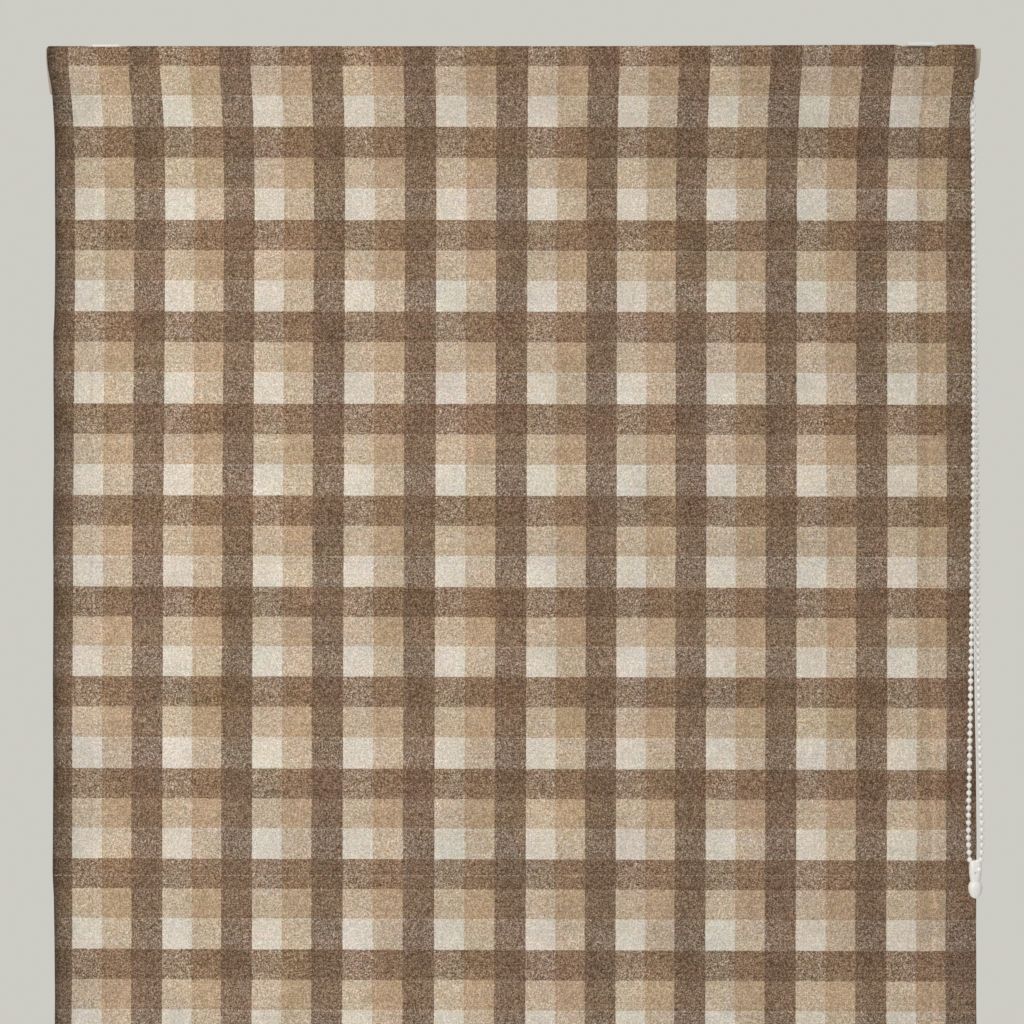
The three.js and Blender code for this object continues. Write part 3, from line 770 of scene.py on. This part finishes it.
def relief(x, z, from_left, from_right):
    """How far the face stands out from its plain profile."""
    free = smooth_step(-z, 40, 150)
    height = WAVE_DEPTH * free * waves(x, z, 3, 6, 160, 460)
    height += DIMPLE_DEPTH * free * waves(x, z, 4, 6, 45, 110)
    for index, stitch in enumerate(STITCH_HEIGHTS + [BOTTOM_STITCHES]):
        away = z - stitch
        pucker = waves(x, 0 * z, 20 + index, 5, 8, 26)
        height -= STITCH_TROUGH * hump(away, 0, 1.8)
        height += PUCKER_DEPTH * pucker * (hump(away, 3.5, 3.5) + hump(away, -3.5, 3.5))
        height += ROD_SWELL * hump(away, -ROD_BELOW_STITCHES, 5.0)
    for distance, hem, seed in ((from_left, LEFT_HEM, 31), (from_right, RIGHT_HEM, 32)):
        ripple = waves(0 * x, z, seed, 5, 22, 75)
        height -= HEM_GROOVE * free * hump(distance, hem, 0.9)
        height += HEM_RIDGE * free * hump(distance, hem - 3.2, 1.8)
        height += HEM_RIPPLE * free * ripple * hump(distance, 6, 22)
    below_top = smooth_step(-z, 40, 80)
    for distance, roll in ((from_left, LEFT_ROLL), (from_right, RIGHT_ROLL)):
        near = np.clip(ROLL_REACH - distance, 0, ROLL_REACH) / ROLL_REACH
        height -= roll * below_top * near ** 2
    return height


# Half the width of the step at a hem's inner edge
HEM_STEP = 0.45


def layers(from_left, from_right, from_top, from_bottom):
    """The cloth's thickness, with its turned hems behind."""
    def turned(distance, hem, thickness):
        return SINGLE_LAYER + (thickness - SINGLE_LAYER) * smooth_step(hem - distance, -HEM_STEP, HEM_STEP)

    return reduce(np.maximum, [
        turned(from_left, LEFT_HEM, SIDE_HEM_LAYERS),
        turned(from_right, RIGHT_HEM, SIDE_HEM_LAYERS),
        turned(from_top, TOP_TURN, TOP_TURN_LAYERS),
        turned(from_bottom, BOTTOM_HEM, BOTTOM_HEM_LAYERS),
    ])


# Rows and columns of the cloth's mesh lie close together on its folds and at its hems' inner edges
FOLD_STEPS = [0, 0.08, 0.3, 0.7, 1.25, 2.0, 3.2]
SIDE_STEPS = FOLD_STEPS + [4.8, 6.8, 10, 14, 18.5, 23, 27]
TOP_STEPS = FOLD_STEPS + [5, 8, 11.5, 14.5, 16.2]
BOTTOM_STEPS = FOLD_STEPS + [5, 8, 12]
SIDE_HEM_OFFSETS = [-3.6, -2.0, -0.9, -0.45, -0.15, 0.15, 0.45, 1.2, 3]
END_HEM_OFFSETS = [-0.45, -0.15, 0.15, 0.45, 1.2]
STITCH_OFFSETS = [-6.5, -4, -2.2, -1.1, -0.4, 0.4, 1.1, 2.2, 4, 6.5]
FIELD_COLUMNS = 110
FIELD_START = -21.0
FIELD_END = -DROP + 14
ROW_PITCH = 5.2
LEAST_ROW_GAP = 2.2


def steps_from_edge(hem):
    """Distances of the mesh's columns from an edge."""
    return [step for step in SIDE_STEPS if step < hem - 4] + [hem + offset for offset in SIDE_HEM_OFFSETS]


def column_places(z):
    """The x of every column of the mesh at each height."""
    left, right = edges_at(z)
    steps_left = np.array(steps_from_edge(LEFT_HEM))
    steps_right = np.array(steps_from_edge(RIGHT_HEM))[::-1]
    field = np.linspace(0, 1, FIELD_COLUMNS + 2)[1:-1]
    start = (left + steps_left[-1])[:, None]
    end = (right - steps_right[0])[:, None]
    return np.concatenate([
        left[:, None] + steps_left[None, :],
        start + (end - start) * field[None, :],
        right[:, None] - steps_right[None, :],
    ], axis=1)


def row_heights():
    """Heights of the mesh's rows: those of the folds, hems and stitches, and even ones between."""
    rows = {round(-CLOTH_TOP - step, 3) for step in TOP_STEPS}
    rows |= {round(-DROP + step, 3) for step in BOTTOM_STEPS}
    for offset in END_HEM_OFFSETS:
        rows.add(round(-CLOTH_TOP - TOP_TURN - offset, 3))
        rows.add(round(-DROP + BOTTOM_HEM + offset, 3))
    for stitch in STITCH_HEIGHTS + [BOTTOM_STITCHES]:
        rows |= {round(stitch + offset, 3) for offset in STITCH_OFFSETS}
    placed = sorted(rows)
    for z in np.arange(FIELD_START, FIELD_END, -ROW_PITCH):
        if min(abs(z - other) for other in placed) > LEAST_ROW_GAP:
            rows.add(round(float(z), 3))
    return np.array(sorted(rows, reverse=True))


# The picture's part of the cloth, over which the check leans and bows
HALF_WIDTH = 370
SEEN_ARC = 800


def flat_coordinates(x, z):
    """Where a point of the face lies on the flat cloth. The warp leans and crowds, and the rows bow."""
    lean = (1.8 - 0.6 * x / HALF_WIDTH) * (z + 344) / 664
    crowding = 0.23 + 0.34 * np.cos(2 * math.pi * x / 300) + 0.59 * np.cos(2 * math.pi * (x - 48) / 510)
    across = x - lean - crowding
    arc = at_height(fine_arc, z)
    bow = -2.53 + 3.6 * np.sin(math.pi * np.clip(arc + 15, 0, SEEN_ARC) / SEEN_ARC)
    bow += 1.17 * hump(arc, 800, 70) - 0.46 * hump(arc, 230, 60) - 1.21 * hump(arc, 520, 35)
    bow += x / HALF_WIDTH * (0.32 + 0.82 * np.clip(arc, 0, SEEN_ARC) / 780)
    return across, arc - bow


# How far the top edge stands above the rail at the left, how much more at the right, and below a bracket
TOP_RISE = 0.8
TOP_RISE_GAIN = 1.2
BRACKET_RISE = 0.35


def top_rise(x, z):
    """The top edge stands a little above the rail, more so to the right, and dips below the brackets."""
    rise = TOP_RISE + TOP_RISE_GAIN * smooth_step(x, 40, 340)
    for centre in (-BRACKET_X, BRACKET_X):
        below_bracket = 1 - smooth_step(np.abs(x - centre), 11, 17)
        rise += below_bracket * (BRACKET_RISE - rise)
    return rise * smooth_step(z, -13, -1)


def middles(grid):
    """The value at the middle of each face."""
    return (grid[:-1, :-1] + grid[1:, 1:]) / 2


def corners(grid):
    """The values at the four corners of each face."""
    return np.stack([grid[:-1, :-1], grid[1:, :-1], grid[1:, 1:], grid[:-1, 1:]], axis=-1)


def painted_shade_and_highlight(from_left, from_right, from_top):
    """Painted shade and highlight, not the cloth's own colour: darker over the double cloth of the hems, a
    painted shade line and a painted highlight at each hem's inner edge, and painted shade along the side
    edges and the top edge.
    """
    # Painted shade over the left hem's double cloth, then a painted shade line and a painted highlight at its
    # inner edge
    tone = 1 - 0.020 * smooth_step(LEFT_HEM - from_left, -0.6, 0.6)
    tone -= 0.03 * hump(from_left, LEFT_HEM + 0.2, 0.8)
    tone += 0.02 * hump(from_left, LEFT_HEM + 1.6, 0.8)
    # Painted shade in a band beside the right hem, a painted shade line, and a painted highlight on the hem's
    # ridge
    beside_hem = smooth_step(RIGHT_HEM + 13 - from_right, 0, 3)
    tone -= 0.055 * (beside_hem * smooth_step(from_right - RIGHT_HEM, 1.0, 2.4))
    tone -= 0.04 * hump(from_right, RIGHT_HEM + 2.4, 0.8)
    tone += 0.13 * hump(from_right, RIGHT_HEM + 0.1, 1.2)
    # Painted shade along the left edge, strongest in the first 9 mm and fading over about 75 mm
    painted_edge_shade = 0.48 * (np.clip(9 - from_left, 0, 9) / 9) ** 1.2
    painted_edge_shade += 0.17 * smooth_step(-from_left, -26, -6)
    painted_edge_shade += 0.07 * smooth_step(-from_left, -75, -25)
    tone *= (1 - painted_edge_shade)
    # Painted shade along the right edge
    tone *= (1 - 0.12 * (np.clip(4 - from_right, 0, 4) / 4) ** 1.3)
    # Painted shade along the top fold
    return tone * (1 - 0.20 * hump(from_top, 0, 1.6))


def make_cloth():
    """The cloth as one closed sheet, with its place on the flat cloth and its painted shade and highlight on
    every point.
    """
    z = row_heights()
    x = column_places(z)
    rows, columns = x.shape
    heights = np.repeat(z[:, None], columns, axis=1)
    left, right = edges_at(z)
    from_left = x - left[:, None]
    from_right = right[:, None] - x
    from_top = -CLOTH_TOP - heights
    from_bottom = heights + DROP
    thickness = layers(from_left, from_right, from_top, from_bottom)
    nearest = np.minimum(np.minimum(from_left, from_right), np.minimum(from_top, from_bottom))
    half = thickness / 2
    rest = np.clip(half - nearest, 0, None)
    fold = half - np.sqrt(np.maximum(half ** 2 - rest ** 2, 0))
    face = at_height(face_forward, heights) + relief(x, heights, from_left, from_right)
    raised = heights + top_rise(x, heights)
    front = np.stack([x, face - fold, raised], axis=-1)
    back = np.stack([x, face - thickness + fold, raised], axis=-1)

    # The face and the back share the points of the border
    front_index = np.arange(rows * columns).reshape(rows, columns)
    inner = np.zeros((rows, columns), bool)
    inner[1:-1, 1:-1] = True
    back_index = front_index.copy()
    back_index[inner] = rows * columns + np.arange(inner.sum())
    points = np.concatenate([front.reshape(-1, 3), back[inner]])

    faces = np.concatenate([corners(front_index).reshape(-1, 4), corners(back_index).reshape(-1, 4)[:, ::-1]])
    cloth = add_piece("cloth_panel", place(points), faces.tolist(), [cloth_material])

    # The flat coordinates, and on the turned hems those of the cloth that was folded back
    across, down = flat_coordinates(x, heights)
    total = at_height(fine_arc, np.array(-DROP))
    on_left = middles(from_left) < LEFT_HEM
    on_right = middles(from_right) < RIGHT_HEM
    on_top = middles(from_top) < TOP_TURN
    on_bottom = middles(from_bottom) < BOTTOM_HEM
    front_across, front_down = corners(across), corners(down)
    edge_across = corners(np.repeat(across[:, :1], columns, axis=1))
    far_across = corners(np.repeat(across[:, -1:], columns, axis=1))
    back_across = np.where(on_left[..., None], edge_across - corners(from_left), front_across)
    back_across = np.where(on_right[..., None], far_across + corners(from_right), back_across)
    back_down = np.where(on_top[..., None], -corners(from_top), front_down)
    back_down = np.where(on_bottom[..., None], total + corners(from_bottom), back_down)
    flat_front = np.stack([front_across, front_down], axis=-1).reshape(-1, 4, 2)
    flat_back = np.stack([back_across, back_down], axis=-1).reshape(-1, 4, 2)[:, ::-1]
    flat = np.concatenate([flat_front, flat_back]).astype(np.float32)
    layer = cloth.data.uv_layers.new(name="FlatCloth")
    layer.uv.foreach_set("vector", flat.ravel())

    # Painted shade and highlight at the hems and edges, stored as a point attribute
    tone = painted_shade_and_highlight(from_left, from_right, from_top)
    attribute = cloth.data.attributes.new("painted_shade_and_highlight", "FLOAT", "POINT")
    attribute.data.foreach_set("value", np.concatenate([tone.ravel(), tone[inner]]).astype(np.float32))
    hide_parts("cloth")
    return cloth


def surface(x, z):
    """The face and the back of the hung cloth at given places, as forward distances."""
    left, right = edges_at(z)
    from_left, from_right = x - left, right - x
    face = at_height(face_forward, z) + relief(x, z, from_left, from_right)
    thickness = layers(from_left, from_right, -CLOTH_TOP - z, z + DROP)
    return face, face - thickness


cloth = make_cloth()


# The rod pockets: a tape folded in two, sewn on along its top, and open below round its rod

TAPE_THICKNESS = 0.5
POCKET_INSET = 6.0
POCKET_GAP = 0.3
ROD_BELOW = 13.0
ROD_ROOM = 2.35
# How far its front layer's middle lies behind the cloth, at the top and lower down
LAYER_BEHIND = 0.25
LAYER_LOWER = 0.27
# How far below the stitches the tape lies against the cloth, and how open it is at its flattened tips
POCKET_SEAT = 6.0
TIP_OPEN = 0.16
TIP_STEPS = [0, 0.8, 2, 4, 6, 8, 10, 13, 17]
HEM_EDGE_STEPS = [-1.2, -0.4, 0.4, 1.2]
SLACK_DEPTH = 0.10


def pocket_line():
    """The tape's middle line in section, from the front layer's top round the rod to the back layer's top:
    below the stitches, and behind the cloth."""
    line = [(-2.0, LAYER_BEHIND), (0.0, LAYER_BEHIND)]
    line += [(below, LAYER_LOWER) for below in (3.0, 6.0, 9.0, 11.0)]
    for angle in np.linspace(-80, 100, 13):
        turn = math.radians(angle)
        behind = LAYER_LOWER + ROD_ROOM + ROD_ROOM * math.sin(turn)
        line.append((ROD_BELOW + ROD_ROOM * math.cos(turn), behind))
    line += [(9.8, 3.9), (7.6, 2.5), (5.4, 1.45), (3.4, 1.0), (1.6, 0.84)]
    line += [(0.0, 0.76), (-1.0, 0.8), (-2.0, 0.86)]
    return np.array(line)


def make_pocket(index):
    """One tape folded round its rod's place, slack along its length and sewn flat at its ends."""
    z_top = STITCH_HEIGHTS[index]
    left, right = edges_at(z_top)
    start, end = left + POCKET_INSET, right - POCKET_INSET
    along = set(TIP_STEPS) | {end - start - step for step in TIP_STEPS}
    along |= {LEFT_HEM - POCKET_INSET + step for step in HEM_EDGE_STEPS}
    along |= {end - start - (RIGHT_HEM - POCKET_INSET) - step for step in HEM_EDGE_STEPS}
    along |= set(np.arange(24.0, end - start - 22, 6.5))
    along = np.array(sorted(along)) + start
    line = curve_through(pocket_line(), 0.9)
    tangent = np.gradient(line, axis=0)
    tangent /= np.linalg.norm(tangent, axis=1)[:, None]
    normal = np.stack([-tangent[:, 1], tangent[:, 0]], axis=-1)
    outer = line + normal * TAPE_THICKNESS / 2
    inner = line - normal * TAPE_THICKNESS / 2
    loop = np.concatenate([outer, inner[::-1]])
    slack = waves(along, 0 * along, 70 + index, 6, 18, 90)
    seat = z_top - POCKET_SEAT
    rings = []
    for x, loose in zip(along, slack):
        near = min(x - start, end - x)
        open_share = TIP_OPEN + (1 - TIP_OPEN) * float(smooth_step(near, 1.5, 12))
        below = loop[:, 0] + SLACK_DEPTH * loose * np.clip(loop[:, 0] / 8, 0, 1)
        behind = LAYER_BEHIND + (loop[:, 1] - LAYER_BEHIND) * np.where(loop[:, 1] > 0.5, open_share, 1.0)
        behind = np.where(loop[:, 1] > 0.5, np.maximum(behind, 0.52 + (loop[:, 1] > 0.9) * 0.2), behind)
        behind = behind + SLACK_DEPTH * loose * np.clip(loop[:, 1] / 3, 0, 1)
        z = z_top - below
        back = surface(x, seat)[1] + (at_height(face_forward, z) - at_height(face_forward, seat))
        rings.append(np.stack([np.full(len(z), x), back - POCKET_GAP - behind, z], axis=-1))
    faces = tube_faces(len(rings), len(loop), flip=True)
    pocket = add_piece(f"pocket_{index + 1}", place(np.concatenate(rings)), faces, [tape])
    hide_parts(f"rod_pocket_{index + 1}")


for pocket_index in range(len(STITCH_HEIGHTS)):
    make_pocket(pocket_index)


# Stitches

STITCH_PITCH = 3.7
STITCH_LENGTH = 3.05
STITCH_RADIUS = 0.20
STITCH_SIDES = 5
# Along a stitch: the share of its length, of its width, and how proud it stands
STITCH_SHAPE = [
    (0.0, 0.45, -0.42), (0.10, 0.85, -0.08), (0.32, 1.0, 0.15),
    (0.68, 1.0, 0.15), (0.90, 0.85, -0.08), (1.0, 0.45, -0.42),
]
# How far each row lies sunk in the face's nap; the last is the bottom hem's
FACE_SINK = [0.03, 0.22, 0.12, 0.10, 0.08]
BACK_SINK = 0.0
# How far a row starts from the edge of the cloth or of a pocket, and the pocket's thickness there
ROW_INSET = 2.0
POCKET_ROW_INSET = 1.5
POCKET_THICKNESS = 1.0
ROW_PLACES = np.arange(-380, 380, 0.7)


def stitch_row(z, depths, outward, seed, inset, sink):
    """One row of machine stitches on a surface whose depths are given at the row places. Outward is 1 on
    the face and -1 behind."""
    left, right = edges_at(z)
    source = np.random.default_rng(seed)
    count = int((right - left - 2 * inset) / STITCH_PITCH)
    starts = left + inset + np.arange(count) * STITCH_PITCH
    heights = z + source.normal(0, 0.10, count)
    lengths = STITCH_LENGTH + source.normal(0, 0.12, count)
    tilts = source.normal(0.12, 0.08, count)
    angles = np.arange(STITCH_SIDES) * 2 * math.pi / STITCH_SIDES
    points, faces = [], []
    for number in range(count):
        faces += tube_faces(len(STITCH_SHAPE), STITCH_SIDES, len(points) * STITCH_SIDES, flip=outward < 0)
        for share, width, proud in STITCH_SHAPE:
            x = starts[number] + share * lengths[number]
            height = heights[number] + (share - 0.5) * tilts[number]
            forward = float(np.interp(x, ROW_PLACES, depths)) + outward * (proud - sink)
            radius = width * STITCH_RADIUS
            points.append([
                (x, forward + radius * math.cos(angle) * outward, height + radius * math.sin(angle))
                for angle in angles
            ])
    return np.array(points).reshape(-1, 3), faces


def make_stitches():
    """Each row of stitches on the face, and the same row behind on the pocket's tape or the hem."""
    points, faces = [], []
    total = 0
    for index, z in enumerate(STITCH_HEIGHTS + [BOTTOM_STITCHES]):
        on_pocket = index < len(STITCH_HEIGHTS)
        seat = z - POCKET_SEAT if on_pocket else z
        face_depths = surface(ROW_PLACES, z)[0]
        back_depths = surface(ROW_PLACES, seat)[1]
        if on_pocket:
            back_depths = back_depths - (POCKET_GAP + POCKET_THICKNESS)
        face_seed = 90 + index if on_pocket else 96
        back_inset = POCKET_INSET + POCKET_ROW_INSET if on_pocket else ROW_INSET
        sides = (
            (face_depths, 1, face_seed, ROW_INSET, FACE_SINK[index]),
            (back_depths, -1, 110 + index, back_inset, BACK_SINK),
        )
        for side in sides:
            row_points, row_faces = stitch_row(z, *side)
            points.append(row_points)
            faces += [[corner + total for corner in face] for face in row_faces]
            total += len(row_points)
    return add_piece("stitches", place(np.concatenate(points)), faces, [thread])


stitches = make_stitches()


# The rail, its ends and its brackets keep their CAD shapes, with their edges eased

WELD_DISTANCE = 0.00001
FLAT_ANGLE = math.radians(0.5)
EDGE_ANGLE = math.radians(35)


def ease(node, material, width, segments=2):
    """Gives a CAD node its material and bevels its sharp edges by a width in millimetres."""
    part = nodes[node]
    part.data.materials.clear()
    part.data.materials.append(material)
    weld = part.modifiers.new("weld", "WELD")
    weld.merge_threshold = WELD_DISTANCE
    flat = part.modifiers.new("flat", "DECIMATE")
    flat.decimate_type = "DISSOLVE"
    flat.angle_limit = FLAT_ANGLE
    bevel = part.modifiers.new("bevel", "BEVEL")
    bevel.width = width * MM
    bevel.segments = segments
    bevel.limit_method = "ANGLE"
    bevel.angle_limit = EDGE_ANGLE
    part.data.polygons.foreach_set("use_smooth", np.full(len(part.data.polygons), False))


ease("headrail", rail, 0.15, 1)
# The end pieces' beige is darkened as painted shade
ease("end_cap_left", beige, 0.45)
ease("chain_drive", beige, 0.6)
ease("bracket_left", white, 0.25)
ease("bracket_right", white, 0.25)


# Floor and light, in metres and watts

FLOOR_REACH = 5.0
FLOOR_HEIGHT = -2.05
LIGHTING = (0.97, 0.98, 1.0, 1)
BACKDROP = (0.61, 0.60, 0.555, 1)
KEY_COLOUR = (1.0, 0.985, 0.96)
FILL_COLOUR = (0.97, 0.98, 1.0)
STUDIO_COLOUR = (1.0, 0.99, 0.97)


def make_floor():
    mesh = bpy.data.meshes.new("floor")
    turns = ((-1, -1), (1, -1), (1, 1), (-1, 1))
    mesh.from_pydata([(x * FLOOR_REACH, y * FLOOR_REACH, FLOOR_HEIGHT) for x, y in turns], [], [(0, 1, 2, 3)])
    mesh.materials.append(floor_material)
    link(bpy.data.objects.new("floor", mesh))


def make_light(name, location, target, size, power, colour):
    """A square lamp at a location, turned to a target."""
    data = bpy.data.lights.new(name, "AREA")
    data.shape = "SQUARE"
    data.size = size
    data.energy = power
    data.color = colour
    lamp = link(bpy.data.objects.new(name, data))
    lamp.location = location
    aim = np.array(target) - np.array(location)
    lamp.rotation_mode = "QUATERNION"
    lamp.rotation_quaternion = Vector(aim).to_track_quat("-Z", "Y")
    lamp.visible_camera = False


def make_world():
    """Even light from all round, and the plain backdrop that the camera sees."""
    world = bpy.data.worlds.new("world")
    scene.world = world
    world.use_nodes = True
    tree = world.node_tree
    lighting = tree.nodes["Background"]
    seen = tree.nodes.new("ShaderNodeBackground")
    for shader, colour, strength in ((lighting, LIGHTING, 0.30), (seen, BACKDROP, 1.0)):
        shader.inputs["Color"].default_value = colour
        shader.inputs["Strength"].default_value = strength
    rays = tree.nodes.new("ShaderNodeLightPath")
    mixer = tree.nodes.new("ShaderNodeMixShader")
    tree.links.new(rays.outputs["Is Camera Ray"], mixer.inputs[0])
    tree.links.new(lighting.outputs[0], mixer.inputs[1])
    tree.links.new(seen.outputs[0], mixer.inputs[2])
    tree.links.new(mixer.outputs[0], tree.nodes["World Output"].inputs[0])


make_floor()
make_world()
make_light("key", (-0.95, -1.70, -0.12), (-0.25, 0, -0.42), 1.1, 20.5, KEY_COLOUR)
make_light("fill", (1.6, -2.0, -0.2), (0, 0, -0.5), 1.4, 1.0, FILL_COLOUR)
make_light("rear", (0.9, 2.2, 0.5), (0, 0, -0.5), 1.6, 20.0, STUDIO_COLOUR)
make_light("overhead", (0, -0.2, 5.0), (0, -0.2, -2.0), 6.0, 260.0, STUDIO_COLOUR)
scene.view_settings.view_transform = "Standard"
